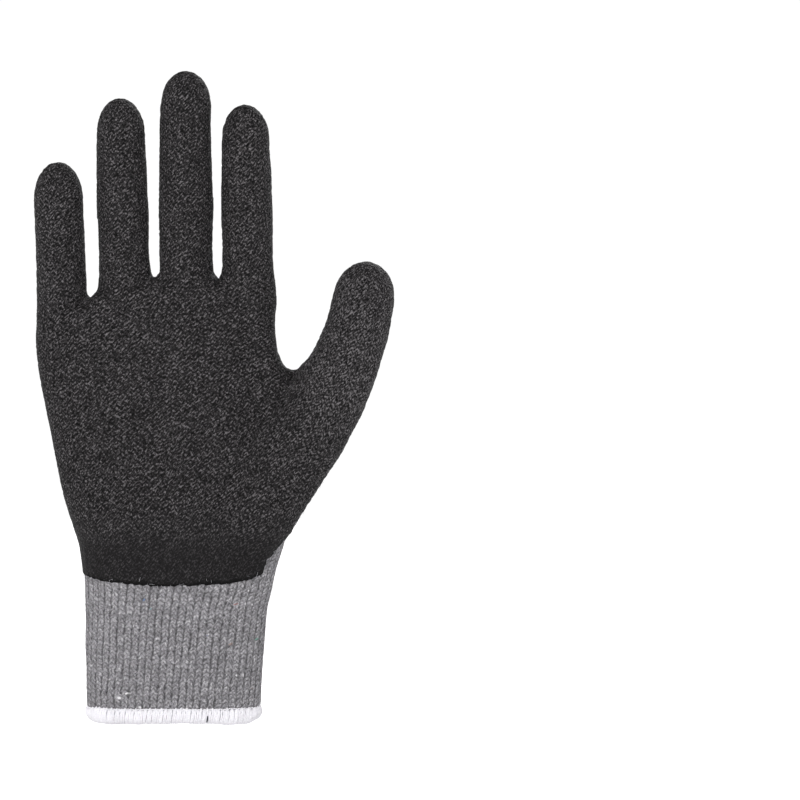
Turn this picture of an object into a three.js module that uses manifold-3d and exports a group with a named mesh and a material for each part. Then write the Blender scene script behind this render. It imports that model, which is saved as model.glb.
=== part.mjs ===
// A right-hand work glove in the shape it has on a hand: a seamless knitted liner, a latex layer
// dipped over its palm and fingertips, and an overlocked hem round the wrist opening.
//
// Frame: +Z runs from the wrist opening to the fingertips, the palm faces -Y and the thumb is at +X.
// The origin is the centre of the wrist opening, at the hem's lower edge. Millimetres throughout.
import * as THREE from "three";
import { mergeVertices } from "three/addons/utils/BufferGeometryUtils.js";
import Module from "manifold-3d";

// Layers, from the inside out
const KNIT_WALL = 1.6;
const COAT_GAP = 0.3;
const COAT_WALL = 0.8;

// Rib cuff and its hem
const CUFF_WIDTH = 68;
const CUFF_DEPTH = 38;
const CUFF_LENGTH = 57;
const HEM_HEIGHT = 6;
const HEM_WALL = 1.3;
const HEM_GAP = 0.3;

// Palm, measured on the liner
const PALM_WIDTH = 90.5;
const PALM_DEPTH = 30;
const PALM_LENGTH = 114.4;
const PALM_SHIFT = -7.6; // the palm's middle sits this far from the cuff's, away from the thumb
const KNUCKLE_DROP = 13; // how far the knuckle line falls at half a palm's width from the middle finger

// Fingers, measured on the liner; the middle finger's length counts from the knuckle line
const FINGER_LENGTH = 77.6;
const FINGER_WIDTH = 18.6;
const FINGER_DEPTH = 18.6;
const FINGER_CURL = 8; // the tips lean this far towards the palm
const FINGER_ROOT = 24; // how deep a finger's tube starts inside the palm
const TIP_LENGTH = 12.5;

// Thumb, measured on the liner, from the heel of the palm to the tip
const THUMB_HEEL_OUT = 20.5;
const THUMB_HEEL_UP = 58;
const THUMB_REACH = 54.4;
const THUMB_RISE = 118;
const THUMB_WIDTH = 31;
const THUMB_DEPTH = 27;
const THUMB_FORWARD = 9; // how far the tip stands towards the palm side

// Web between thumb and forefinger: the middle of its hollow edge, and its thickness there
const WEB_OUT = 45.4;
const WEB_UP = 134.4;
const WEB_DEPTH = 15;
const WEB_WIDTH = 22;

// Where the latex ends
const COAT_FOOT = 53.6; // lowest point of its edge on the palm side
const COAT_SMILE = 10; // how far that edge has climbed at the cuff's sides
const CAP_LENGTH = 34; // latex on the back of the middle fingertip, from the tip down
const THUMB_CAP = 0.84; // the thumb's, as a share of that
const TONGUE_ARCH = 17; // height of the round top of the bare knit on the back of a digit
const TONGUE_HALF_ANGLE = { finger: 64, thumb: 70 }; // degrees round the digit from its back, full width
const PATCH_WIDTH = 23; // latex on the back of the web
const PATCH_DEPTH = 19;

// Mesh fineness: points round a section, rings of a fingertip and points of a bare tongue's edge
const OUTER_STEPS = { body: 32, digit: 16 };
const INNER_STEPS = { body: 20, digit: 8 };
const DOME_RINGS = 4;
const TONGUE_STEPS = 6;

// Colours
const KNIT_GREY = 0x83838a;
const LATEX_BLACK = 0x2e2d2e;
const HEM_WHITE = 0xf0eef4;

// Each row is a level of the body. up: share of the cuff's or palm's length. left and right: shares of
// its half width. front (palm side) and back: shares of its half depth. square: section's squareness.
const CUFF_ROWS = [
  { up: 0.0, left: 0.955, right: 0.95, front: 0.96, back: 0.96, square: 2.2 },
  { up: 0.12, left: 0.985, right: 0.98, front: 1.0, back: 1.0, square: 2.2 },
  { up: 0.35, left: 0.99, right: 1.0, front: 1.0, back: 1.0, square: 2.2 },
  { up: 0.6, left: 1.0, right: 1.03, front: 0.99, back: 0.98, square: 2.2 },
  { up: 0.78, left: 1.005, right: 1.055, front: 0.99, back: 0.96, square: 2.2 },
  { up: 0.93, left: 1.01, right: 1.115, front: 1.0, back: 0.95, square: 2.25 },
];
const PALM_ROWS = [
  { up: 0.02, left: 0.595, right: 1.04, front: 1.25, back: 1.18, square: 2.3 },
  { up: 0.1, left: 0.625, right: 1.11, front: 1.21, back: 1.13, square: 2.35 },
  { up: 0.25, left: 0.745, right: 1.13, front: 1.15, back: 1.06, square: 2.4 },
  { up: 0.43, left: 0.835, right: 1.19, front: 1.05, back: 0.98, square: 2.5 },
  { up: 0.54, left: 0.885, right: 1.2, front: 0.97, back: 0.92, square: 2.6 },
  { up: 0.62, left: 0.92, right: 1.14, front: 0.92, back: 0.87, square: 2.6 },
  { up: 0.68, left: 0.945, right: 1.06, front: 0.88, back: 0.82, square: 2.6 },
  { up: 0.74, left: 0.96, right: 1.02, front: 0.85, back: 0.76, square: 2.7 },
  { up: 0.81, left: 0.975, right: 1.0, front: 0.8, back: 0.68, square: 2.8 },
  { up: 0.88, left: 0.985, right: 0.99, front: 0.73, back: 0.6, square: 2.9 },
  { up: 0.95, left: 0.985, right: 0.985, front: 0.64, back: 0.53, square: 3.0 },
  { up: 0.985, left: 0.975, right: 0.975, front: 0.5, back: 0.42, square: 3.0 },
  { up: 1.0, left: 0.955, right: 0.955, front: 0.26, back: 0.22, square: 3.0 },
];

// across: the finger's place from the palm's middle, as a share of the palm's half width, at the knuckle
// line and at the tip. length, width and cap: shares of the middle finger's length, width and latex cap.
const FINGERS = [
  { name: "little", across: -0.79, tipAcross: -0.81, length: 0.55, width: 0.92, cap: 0.64 },
  { name: "ring", across: -0.262, tipAcross: -0.28, length: 0.865, width: 0.94, cap: 0.86 },
  { name: "middle", across: 0.267, tipAcross: 0.275, length: 1.0, width: 1.0, cap: 1.0 },
  { name: "index", across: 0.795, tipAcross: 0.775, length: 0.835, width: 0.95, cap: 1.0 },
];

// A finger's girth at shares of its way from the root to where the tip starts to close
const FINGER_GIRTHS = [
  { along: 0.0, girth: 0.84 },
  { along: 0.2, girth: 1.03 },
  { along: 0.38, girth: 1.0 },
  { along: 0.58, girth: 1.02 },
  { along: 0.78, girth: 1.0 },
  { along: 1.0, girth: 0.97 },
];

// The thumb's levels. out and up: shares of its reach and rise. width, depth and forward: shares of its own
const THUMB_ROWS = [
  { out: 0.0, up: 0.0, width: 0.8, depth: 0.8, forward: 0.2 },
  { out: 0.195, up: 0.18, width: 1.0, depth: 1.0, forward: 0.5 },
  { out: 0.415, up: 0.365, width: 1.03, depth: 1.03, forward: 0.75 },
  { out: 0.58, up: 0.47, width: 0.97, depth: 0.96, forward: 0.85 },
  { out: 0.725, up: 0.573, width: 0.88, depth: 0.9, forward: 0.9 },
  { out: 0.85, up: 0.694, width: 0.785, depth: 0.84, forward: 0.95 },
  { out: 0.922, up: 0.788, width: 0.735, depth: 0.8, forward: 1.0 },
  { out: 0.965, up: 0.885, width: 0.71, depth: 0.77, forward: 1.0 },
];
const THUMB_TIP = { out: 0.995, up: 1.0, forward: 1.0 };

// The web between thumb and forefinger. across: share of its width from its middle, towards the thumb.
// rise: how far its upper edge stands above the middle, as a share of its width.
const WEB_ROWS = [
  { across: -0.95, rise: 0.98, depth: 1.0 },
  { across: -0.6, rise: 0.98, depth: 1.2 },
  { across: -0.33, rise: 0.62, depth: 1.3 },
  { across: -0.18, rise: 0.17, depth: 1.15 },
  { across: 0.0, rise: 0.02, depth: 1.0 },
  { across: 0.18, rise: 0.06, depth: 1.04 },
  { across: 0.38, rise: 0.3, depth: 1.14 },
  { across: 0.62, rise: 0.72, depth: 1.25 },
];

// The latex edge at the wrist on the palm side. across: place as a share of the cuff's half width.
// rise: share of the smile's height.
const FOOT_EDGE = [
  { across: -2.0, rise: 1.6 },
  { across: -1.2, rise: 0.62 },
  { across: -0.95, rise: 0.3 },
  { across: -0.7, rise: 0.12 },
  { across: -0.3, rise: 0.02 },
  { across: 0.1, rise: 0.0 },
  { across: 0.6, rise: 0.08 },
  { across: 0.85, rise: 0.22 },
  { across: 1.05, rise: 0.48 },
  { across: 1.2, rise: 0.9 },
  { across: 2.0, rise: 3.6 },
];

// The latex patch on the back of the web, seen from the palm side. across: share of the patch's width
// from the web's middle, towards the thumb. up: share of its depth from the web's upper edge.
const PATCH_EDGE = [
  { across: 0.9, up: 1.3 },
  { across: 0.46, up: 1.3 },
  { across: -0.42, up: 1.3 },
  { across: -0.6, up: 0.6 },
  { across: -0.74, up: 0.0 },
  { across: -0.72, up: -0.45 },
  { across: -0.55, up: -0.82 },
  { across: -0.25, up: -1.0 },
  { across: 0.05, up: -0.9 },
  { across: 0.28, up: -0.62 },
  { across: 0.45, up: -0.2 },
  { across: 0.64, up: 0.3 },
  { across: 0.8, up: 0.8 },
];

// The latex edge along the sides of the hand. up: share of the height from the opening to the knuckle
// line. little, index and thumb: how far towards the back the latex reaches on those sides, as shares of
// the palm's half depth.
const SIDE_EDGE = [
  { up: 0.0, little: -0.2, index: -0.8, thumb: -0.8 },
  { up: 0.34, little: 0.0, index: -0.7, thumb: -0.75 },
  { up: 0.42, little: 0.1, index: -0.58, thumb: -0.68 },
  { up: 0.52, little: 0.2, index: -0.3, thumb: -0.55 },
  { up: 0.58, little: 0.23, index: -0.1, thumb: -0.42 },
  { up: 0.66, little: 0.27, index: 0.12, thumb: -0.3 },
  { up: 0.8, little: 0.3, index: 0.26, thumb: -0.24 },
  { up: 1.0, little: 0.3, index: 0.3, thumb: -0.22 },
];

const KNUCKLE_HEIGHT = CUFF_LENGTH + PALM_LENGTH;
const FAR = 400; // larger than the glove, for cutting blocks
const wasm = await Module();
wasm.setup();

// Solids from meshes and back
function solidOf(geometry) {
  const bare = geometry.clone();
  for (const name of Object.keys(bare.attributes)) {
    if (name !== "position") bare.deleteAttribute(name);
  }
  const merged = mergeVertices(bare, 1e-4);
  return new wasm.Manifold(
    new wasm.Mesh({
      numProp: 3,
      vertProperties: merged.attributes.position.array,
      triVerts: new Uint32Array(merged.index.array),
    }),
  );
}

function meshOf(name, solid, material) {
  const made = solid.getMesh();
  const geometry = new THREE.BufferGeometry();
  geometry.setAttribute("position", new THREE.BufferAttribute(made.vertProperties, 3));
  geometry.setIndex(new THREE.BufferAttribute(made.triVerts, 1));
  geometry.computeVertexNormals();
  const mesh = new THREE.Mesh(geometry, material);
  mesh.name = name;
  return mesh;
}

// A closed skin over a stack of rings with the same number of points, each ring running the same way
// round. The end rings are closed by strips between points that face each other across the ring.
function skin(rings) {
  const round = rings[0].length;
  const positions = rings.flat().flatMap((p) => [p.x, p.y, p.z]);
  const triangles = [];
  for (let level = 0; level + 1 < rings.length; level += 1) {
    for (let i = 0; i < round; i += 1) {
      const next = (i + 1) % round;
      const [a, b] = [level * round + i, level * round + next];
      triangles.push(a, b, b + round, a, b + round, a + round);
    }
  }
  const top = (rings.length - 1) * round;
  for (let i = 0; i < round / 2; i += 1) {
    const [a, b] = [i, i + 1];
    const [c, d] = [(round - i) % round, (round - i - 1) % round];
    if (a !== c) {
      triangles.push(a, c, b);
      triangles.push(top + a, top + b, top + c);
    }
    if (b !== d) {
      triangles.push(b, c, d);
      triangles.push(top + b, top + d, top + c);
    }
  }
  const geometry = new THREE.BufferGeometry();
  geometry.setAttribute("position", new THREE.Float32BufferAttribute(positions, 3));
  geometry.setIndex(triangles);
  return solidOf(geometry);
}

// One point of a squared ellipse at an angle
function squared(angle, square) {
  const power = 2 / square;
  const part = (value) => Math.sign(value) * Math.abs(value) ** power;
  return [part(Math.cos(angle)), part(Math.sin(angle))];
}

// How far the knuckle line has fallen at a place across the palm
const knuckleMiddle = PALM_SHIFT + (FINGERS[2].across * PALM_WIDTH) / 2;
const knuckleDrop = (x) => KNUCKLE_DROP * ((x - knuckleMiddle) / (PALM_WIDTH / 2)) ** 2;

// One level of the cuff or palm, grown outwards by a layer
function bodyRing(row, size, grow, steps) {
  const ring = [];
  for (let i = 0; i < steps; i += 1) {
    const [across, deep] = squared((2 * Math.PI * i) / steps, row.square);
    const side = across > 0 ? row.right : row.left;
    const face = deep > 0 ? row.back : row.front;
    const x = size.shift + across * (side * size.halfWidth + grow);
    const y = deep * (face * size.halfDepth + grow);
    ring.push(new THREE.Vector3(x, y, size.height(row.up, x)));
  }
  return ring;
}

const CUFF_SIZE = {
  shift: 0,
  halfWidth: CUFF_WIDTH / 2,
  halfDepth: CUFF_DEPTH / 2,
  height: (up) => up * CUFF_LENGTH,
};
const palmSize = (grow) => ({
  shift: PALM_SHIFT,
  halfWidth: PALM_WIDTH / 2,
  halfDepth: PALM_DEPTH / 2,
  height: (up, x) => CUFF_LENGTH + up * (PALM_LENGTH + grow) - up ** 4 * knuckleDrop(x),
});

// Cuff and palm as one solid, from a little under the opening to the knuckle line
function body(grow, steps) {
  const start = bodyRing(CUFF_ROWS[0], CUFF_SIZE, grow, steps);
  const under = start.map((p) => p.clone().setZ(-CUFF_LENGTH / 10));
  const cuff = CUFF_ROWS.map((row) => bodyRing(row, CUFF_SIZE, grow, steps));
  const palm = PALM_ROWS.map((row) => bodyRing(row, palmSize(grow), grow, steps));
  return skin([under, ...cuff, ...palm]);
}

// A digit as a solid: rings square to its own line, then a dome. Each station has its centre and its
// half width and half depth.
function tube(stations, tip, grow, steps) {
  const line = new THREE.CatmullRomCurve3([...stations.map((s) => s.at), tip], false, "centripetal");
  const widthways = (heading) => new THREE.Vector3(heading.z, 0, -heading.x).normalize();
  const ring = (at, heading, halfWidth, halfDepth) => {
    const side = widthways(heading);
    const back = new THREE.Vector3().crossVectors(heading, side).normalize();
    const points = [];
    for (let i = 0; i < steps; i += 1) {
      const angle = (2 * Math.PI * i) / steps;
      const offset = side.clone().multiplyScalar(Math.cos(angle) * halfWidth);
      offset.addScaledVector(back, Math.sin(angle) * halfDepth);
      points.push(at.clone().add(offset));
    }
    return points;
  };
  const rings = stations.map((s, i) => {
    const heading = line.getTangent(i / stations.length);
    return ring(s.at, heading, s.halfWidth + grow, s.halfDepth + grow);
  });
  const last = stations[stations.length - 1];
  const heading = new THREE.Vector3().subVectors(tip, last.at);
  const dome = heading.length() + grow;
  heading.normalize();
  for (let k = 1; k <= DOME_RINGS; k += 1) {
    const angle = (Math.PI / 2) * (k / (DOME_RINGS + 0.35));
    const at = last.at.clone().addScaledVector(heading, dome * Math.sin(angle));
    const close = Math.cos(angle);
    rings.push(ring(at, heading, (last.halfWidth + grow) * close, (last.halfDepth + grow) * close));
  }
  return skin(rings);
}

// A finger's measures in the glove's frame
function fingerLine(finger) {
  const x = PALM_SHIFT + (finger.across * PALM_WIDTH) / 2;
  const tipX = PALM_SHIFT + (finger.tipAcross * PALM_WIDTH) / 2;
  const knuckle = KNUCKLE_HEIGHT - knuckleDrop(x);
  const tipZ = KNUCKLE_HEIGHT + (finger.length * FINGER_LENGTH);
  const place = (z) => {
    const share = (z - knuckle) / (tipZ - knuckle);
    const lean = share > 0 ? share ** 1.5 : 0;
    return new THREE.Vector3(x + (tipX - x) * share, -FINGER_CURL * lean, z);
  };
  return { knuckle, tipZ, place, halfWidth: (finger.width * FINGER_WIDTH) / 2 };
}

const fingerHalfDepth = (finger) => (finger.width * FINGER_DEPTH) / 2;

function fingerTube(finger, grow, steps) {
  const { knuckle, tipZ, place, halfWidth } = fingerLine(finger);
  const [from, to] = [knuckle - FINGER_ROOT, tipZ - TIP_LENGTH];
  const stations = FINGER_GIRTHS.map((row) => ({
    at: place(from + row.along * (to - from)),
    halfWidth: halfWidth * row.girth,
    halfDepth: fingerHalfDepth(finger) * row.girth,
  }));
  return tube(stations, place(tipZ), grow, steps);
}

const thumbPoint = (row) =>
  new THREE.Vector3(
    THUMB_HEEL_OUT + row.out * THUMB_REACH,
    -row.forward * THUMB_FORWARD,
    THUMB_HEEL_UP + row.up * THUMB_RISE,
  );

function thumbTube(grow, steps) {
  const stations = THUMB_ROWS.map((row) => ({
    at: thumbPoint(row),
    halfWidth: (row.width * THUMB_WIDTH) / 2,
    halfDepth: (row.depth * THUMB_DEPTH) / 2,
  }));
  return tube(stations, thumbPoint(THUMB_TIP), grow, steps);
}

// The web between thumb and forefinger: upright rings from inside the palm to inside the thumb
function web(grow, steps) {
  const rings = WEB_ROWS.map((row) => {
    const x = WEB_OUT + row.across * WEB_WIDTH;
    const top = WEB_UP + row.rise * WEB_WIDTH + grow;
    const lean = ((x - THUMB_HEEL_OUT) / THUMB_REACH) * THUMB_FORWARD;
    const halfDepth = (row.depth * WEB_DEPTH) / 2 + grow;
    const halfHeight = WEB_WIDTH + grow;
    const ring = [];
    for (let i = 0; i < steps; i += 1) {
      const angle = (2 * Math.PI * i) / steps;
      const y = Math.cos(angle) * halfDepth - lean;
      ring.push(new THREE.Vector3(x, y, top - halfHeight + Math.sin(angle) * halfHeight));
    }
    return ring;
  });
  return skin(rings);
}

// The whole glove's form, grown outwards by a layer
function form(grow, steps) {
  const digits = FINGERS.map((finger) => fingerTube(finger, grow, steps.digit));
  digits.push(thumbTube(grow, steps.digit), web(grow, steps.digit));
  return digits.reduce((whole, digit) => whole.add(digit), body(grow, steps.body));
}

// Cutting blocks
function block(low, high) {
  const size = new THREE.Vector3().subVectors(high, low);
  const middle = new THREE.Vector3().addVectors(low, high).multiplyScalar(0.5);
  const box = new THREE.BoxGeometry(size.x, size.y, size.z);
  return solidOf(box.translate(middle.x, middle.y, middle.z));
}

const between = (low, high) =>
  block(new THREE.Vector3(-FAR, -FAR, low), new THREE.Vector3(FAR, FAR, high));

// An outline of [x, z] points made solid through the whole depth of the glove
function throughDepth(outline) {
  const shape = new THREE.Shape(outline.map(([x, z]) => new THREE.Vector2(x, z)));
  const slab = new THREE.ExtrudeGeometry(shape, { depth: 2 * FAR, bevelEnabled: false });
  return solidOf(slab.rotateX(Math.PI / 2).translate(0, FAR, 0));
}

// An outline of [y, z] points made solid from one x to another, then tilted towards +X about a height
function acrossWidth(outline, low, high, tilt = 0, pivot = 0) {
  const shape = new THREE.Shape(outline.map(([y, z]) => new THREE.Vector2(y, z)));
  const slab = new THREE.ExtrudeGeometry(shape, { depth: high - low, bevelEnabled: false });
  const turn = new THREE.Matrix4().makeBasis(
    new THREE.Vector3(0, 1, 0),
    new THREE.Vector3(0, 0, 1),
    new THREE.Vector3(1, 0, 0),
  );
  slab.applyMatrix4(turn).translate(low, 0, -pivot);
  return solidOf(slab.rotateY(tilt).translate(0, 0, pivot));
}

// Everything on the palm side of the latex edge and above its curved lower edge
function palmDip() {
  const half = (side, low, high) => {
    const edge = SIDE_EDGE.map((row) => [(row[side] * PALM_DEPTH) / 2, row.up * KNUCKLE_HEIGHT]);
    const top = edge[edge.length - 1];
    return acrossWidth([[-FAR, 0], ...edge, [top[0], FAR], [-FAR, FAR]], low, high);
  };
  const level = [half("little", -FAR, 0), half("index", 0, WEB_OUT), half("thumb", WEB_OUT, FAR)];
  const lower = FOOT_EDGE.map((row) => [
    (row.across * CUFF_WIDTH) / 2,
    COAT_FOOT + row.rise * COAT_SMILE,
  ]);
  const outline = [...lower, [FAR, lower[lower.length - 1][1]], [FAR, FAR], [-FAR, FAR]];
  outline.push([-FAR, lower[0][1]]);
  return level.reduce((whole, part) => whole.add(part)).intersect(throughDepth(outline));
}

// The dipped part of one digit: all of it above the cap's edge, and below that edge less and less of its
// back, so the bare knit there has a round top. It stands tilted about the tip as the digit does.
function digitDip(digit) {
  const { tip, cap, centre, halfWidth, halfDepth, halfAngle, lowest, tilt } = digit;
  const outline = [];
  for (let k = TONGUE_STEPS; k >= 0; k -= 1) {
    const turn = (Math.PI / 2) * (k / TONGUE_STEPS);
    const z = tip.z - cap - TONGUE_ARCH * (1 - Math.cos(turn));
    const around = THREE.MathUtils.degToRad(halfAngle) * Math.sin(turn);
    outline.push([centre(z) + Math.cos(around) * (halfDepth + (k ? 0 : COAT_WALL)), z]);
  }
  const [foot, edge] = [outline[0], outline[TONGUE_STEPS]];
  outline.unshift([-FAR, lowest], [centre(lowest) + foot[0] - centre(foot[1]), lowest]);
  outline.push([FAR, edge[1]], [FAR, FAR], [-FAR, FAR]);
  const region = acrossWidth(outline, -halfWidth, halfWidth, tilt, tip.z);
  return region.translate(tip.x, 0, 0);
}

function dippedRegion() {
  const room = 1.6; // past each side of a finger, up to the middle of the gap to the next one
  const regions = [palmDip(), webPatch()];
  for (const finger of FINGERS) {
    const { knuckle, tipZ, place, halfWidth } = fingerLine(finger);
    const digit = {
      tip: place(tipZ),
      cap: finger.cap * CAP_LENGTH,
      centre: (z) => place(z).y,
      halfWidth: halfWidth + room,
      halfDepth: fingerHalfDepth(finger),
      halfAngle: TONGUE_HALF_ANGLE.finger,
      lowest: knuckle,
      tilt: 0,
    };
    regions.push(digitDip(digit));
  }
  const [near, tip] = [thumbPoint(THUMB_ROWS[4]), thumbPoint(THUMB_TIP)];
  const row = THUMB_ROWS[5];
  const thumb = {
    tip,
    cap: THUMB_CAP * CAP_LENGTH,
    centre: () => -row.forward * THUMB_FORWARD,
    halfWidth: THUMB_WIDTH,
    halfDepth: (row.depth * THUMB_DEPTH) / 2,
    halfAngle: TONGUE_HALF_ANGLE.thumb,
    lowest: tip.z - tip.distanceTo(near),
    tilt: Math.atan2(tip.x - near.x, tip.z - near.z),
  };
  regions.push(digitDip(thumb));
  return regions.reduce((whole, region) => whole.add(region));
}

// The round-bottomed patch of latex on the back of the web between thumb and forefinger
function webPatch() {
  const outline = PATCH_EDGE.map((row) => [
    WEB_OUT + row.across * PATCH_WIDTH,
    WEB_UP + row.up * PATCH_DEPTH,
  ]);
  return throughDepth(outline);
}

// The three pieces of the glove
function knitLiner() {
  const outer = form(0, OUTER_STEPS).intersect(between(HEM_WALL + HEM_GAP, FAR));
  return outer.subtract(form(-KNIT_WALL, INNER_STEPS));
}

function latexCoating() {
  const layer = form(COAT_GAP + COAT_WALL, OUTER_STEPS).subtract(form(COAT_GAP, OUTER_STEPS));
  return layer.intersect(dippedRegion());
}

function cuffHem() {
  const [gap, wall] = [HEM_GAP, HEM_GAP + HEM_WALL];
  const round = (grow) => body(grow, OUTER_STEPS.body);
  const hollow = (grow) => body(-KNIT_WALL - grow, INNER_STEPS.body);
  const band = round(wall).subtract(hollow(wall)).intersect(between(0, HEM_HEIGHT));
  const slot = round(gap).subtract(hollow(gap)).intersect(between(HEM_WALL, FAR));
  return band.subtract(slot);
}

const knit = new THREE.MeshStandardMaterial({ color: KNIT_GREY, roughness: 0.95, metalness: 0 });
const latex = new THREE.MeshStandardMaterial({ color: LATEX_BLACK, roughness: 0.6, metalness: 0 });
const thread = new THREE.MeshStandardMaterial({ color: HEM_WHITE, roughness: 0.9, metalness: 0 });

const glove = new THREE.Group();
glove.add(meshOf("knit_liner", knitLiner(), knit));
glove.add(meshOf("latex_coating", latexCoating(), latex));
glove.add(meshOf("cuff_hem", cuffHem(), thread));

export default glove;
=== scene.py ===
# %% [markdown]
# # A latex coated grip glove
# A right-hand work glove, upright, palm side to the camera. It has three real pieces: a seamless liner
# knitted from grey melange yarn, a black latex layer that the liner was dipped into, and a white
# overlocked hem round the wrist opening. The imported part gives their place, size and main form. This
# script dresses that form: it rounds the surface, knits it, wrinkles the latex and sews the hem.

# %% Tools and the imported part
import math
from functools import partial
from itertools import product

import bpy
import numpy as np
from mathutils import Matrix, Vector
from mathutils.bvhtree import BVHTree


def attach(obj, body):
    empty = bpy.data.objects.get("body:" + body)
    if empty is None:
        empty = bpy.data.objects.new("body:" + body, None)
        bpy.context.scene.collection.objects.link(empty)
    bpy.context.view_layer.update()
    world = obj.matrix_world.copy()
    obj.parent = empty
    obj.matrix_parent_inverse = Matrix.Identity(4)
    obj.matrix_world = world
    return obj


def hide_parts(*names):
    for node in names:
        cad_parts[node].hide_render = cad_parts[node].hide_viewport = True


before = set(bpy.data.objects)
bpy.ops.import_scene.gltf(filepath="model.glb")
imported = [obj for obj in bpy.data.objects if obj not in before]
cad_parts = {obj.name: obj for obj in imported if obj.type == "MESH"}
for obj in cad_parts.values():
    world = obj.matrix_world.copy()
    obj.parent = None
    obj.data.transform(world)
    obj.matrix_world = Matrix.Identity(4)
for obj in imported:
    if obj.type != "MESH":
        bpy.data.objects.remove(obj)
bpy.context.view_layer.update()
MM = 0.001
rng = np.random.default_rng(7)
print("nodes:", sorted(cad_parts))

# %% [markdown]
# ## Camera
# The glove is seen straight on, from its palm side. A long lens at two metres gives the flat, undistorted
# look of a product picture. The glove stands left of the middle of the square picture, so the camera
# stands to the right of the glove and looks straight ahead, which needs no lens shift.

# %% Camera
VIEW_WIDTH = 307.7 * MM  # what the square picture spans at the glove
CAMERA_AWAY = 2.0
CAMERA_X, CAMERA_Z = 86.9, 123.8  # millimetres from the middle of the wrist opening
camera = bpy.data.objects.new("camera", bpy.data.cameras.new("camera"))
bpy.context.scene.collection.objects.link(camera)
camera.location = (CAMERA_X * MM, -CAMERA_AWAY, CAMERA_Z * MM)
camera.rotation_euler = (math.pi / 2, 0, 0)
camera.data.lens = camera.data.sensor_width * CAMERA_AWAY / VIEW_WIDTH
bpy.context.scene.camera = camera
print("lens", round(camera.data.lens), "mm")

# %% [markdown]
# ## Meshes as arrays
# A knitted surface has tens of thousands of stitches, so its mesh is worked on as arrays of points rather
# than by hand: positions go through formulas in one step. These helpers turn an object into arrays and
# arrays into an object. Arrays count in millimetres, objects in metres.


# %% Meshes as arrays
def arrays_of(mesh):
    points = np.empty(len(mesh.vertices) * 3)
    mesh.vertices.foreach_get("co", points)
    return points.reshape(-1, 3) / MM, [list(face.vertices) for face in mesh.polygons]


def object_of(name, points_mm, faces, smooth=True):
    mesh = bpy.data.meshes.new(name)
    faces = faces.tolist() if isinstance(faces, np.ndarray) else faces
    mesh.from_pydata((np.asarray(points_mm) * MM).tolist(), [], faces)
    mesh.update()
    mesh.polygons.foreach_set("use_smooth", [smooth] * len(mesh.polygons))
    thing = bpy.data.objects.new(name, mesh)
    bpy.context.scene.collection.objects.link(thing)
    return thing


def after_modifiers(thing):
    """The arrays of an object with its modifiers worked in. The object is then taken away."""
    seen = thing.evaluated_get(bpy.context.evaluated_depsgraph_get())
    mesh = seen.to_mesh()
    points, faces = arrays_of(mesh)
    seen.to_mesh_clear()
    bpy.data.objects.remove(thing)
    return points, np.array(faces)


# %% [markdown]
# ## Relaxing a mesh
# Cloth has no sharp creases. Moving each point towards the mean of its neighbours smooths a mesh but also
# shrinks it, so each such step is followed by one that swells it again. The same steps smooth any number
# that is kept for each point, such as how far it lies from the latex.


# %% Relaxing a mesh
def edges_of(quads):
    pairs = np.vstack([quads[:, [i, (i + 1) % 4]] for i in range(4)])
    return np.unique(np.sort(pairs, axis=1), axis=0)


def neighbour_mean(values, edges, count):
    total = np.zeros((len(values), values.shape[1]))
    for column in range(values.shape[1]):
        total[:, column] = np.bincount(edges[:, 0], values[edges[:, 1], column], len(values))
        total[:, column] += np.bincount(edges[:, 1], values[edges[:, 0], column], len(values))
    return total / count[:, None]


def relaxed(values, quads, rounds, swell=-0.63):
    """Smooths values over a mesh. With swell at its default the form keeps its size; at 0 it shrinks."""
    edges = edges_of(quads)
    count = np.maximum(np.bincount(edges.ravel(), minlength=len(values)), 1)
    for _ in range(rounds):
        values = values + 0.6 * (neighbour_mean(values, edges, count) - values)
        if swell:
            values = values + swell * (neighbour_mean(values, edges, count) - values)
    return values


def normals_of(points, quads):
    a, b, c, d = (points[quads[:, i]] for i in range(4))
    across = np.cross(c - a, d - b)
    total = np.zeros_like(points)
    for i in range(4):
        for axis in range(3):
            total[:, axis] += np.bincount(quads[:, i], across[:, axis], len(points))
    return total / np.maximum(np.linalg.norm(total, axis=1, keepdims=True), 1e-9)


def only(points, quads, wanted):
    """The part of a mesh whose faces are wanted."""
    quads = quads[wanted]
    used = np.unique(quads)
    place = np.full(len(points), -1)
    place[used] = np.arange(len(used))
    return used, place[quads]


# %% [markdown]
# ## Soft steps and soft noise
# Two formulas shape nearly everything below: a step that rises gently between two values, and noise with
# lumps of a chosen size, for all that is uneven.


# %% Soft steps and soft noise
def ramp(value, low, high):
    """0 below the low value, 1 above the high one, and a soft rise between them."""
    share = np.clip((value - low) / (high - low), 0, 1)
    return share * share * (3 - 2 * share)


def grain(points, size, seed):
    """Seeded soft noise between -1 and 1, with lumps of about the given size in millimetres."""
    place = points / size + seed * 17.31
    cell = np.floor(place).astype(np.int64)
    inside = place - cell
    inside = inside * inside * (3 - 2 * inside)
    total = np.zeros(len(points))
    for corner in product((0, 1), repeat=3):
        key = (cell + corner) @ np.array([73856093, 19349663, 83492791])
        key = (key ^ (key >> 13)) * 1274126177 & 0x7FFFFFFF
        key = (key ^ (key >> 15)) * 461845907 & 0x7FFFFFFF
        weight = np.prod(np.where(corner, inside, 1 - inside), axis=1)
        total += weight * key
    return total / 0x3FFFFFFF - 1


# %% [markdown]
# ## The two sides of the liner
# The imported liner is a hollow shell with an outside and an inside. They get different stitches and
# different grids, so the shell is parted into them at its lower edge, and each is closed for the grid.


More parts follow.
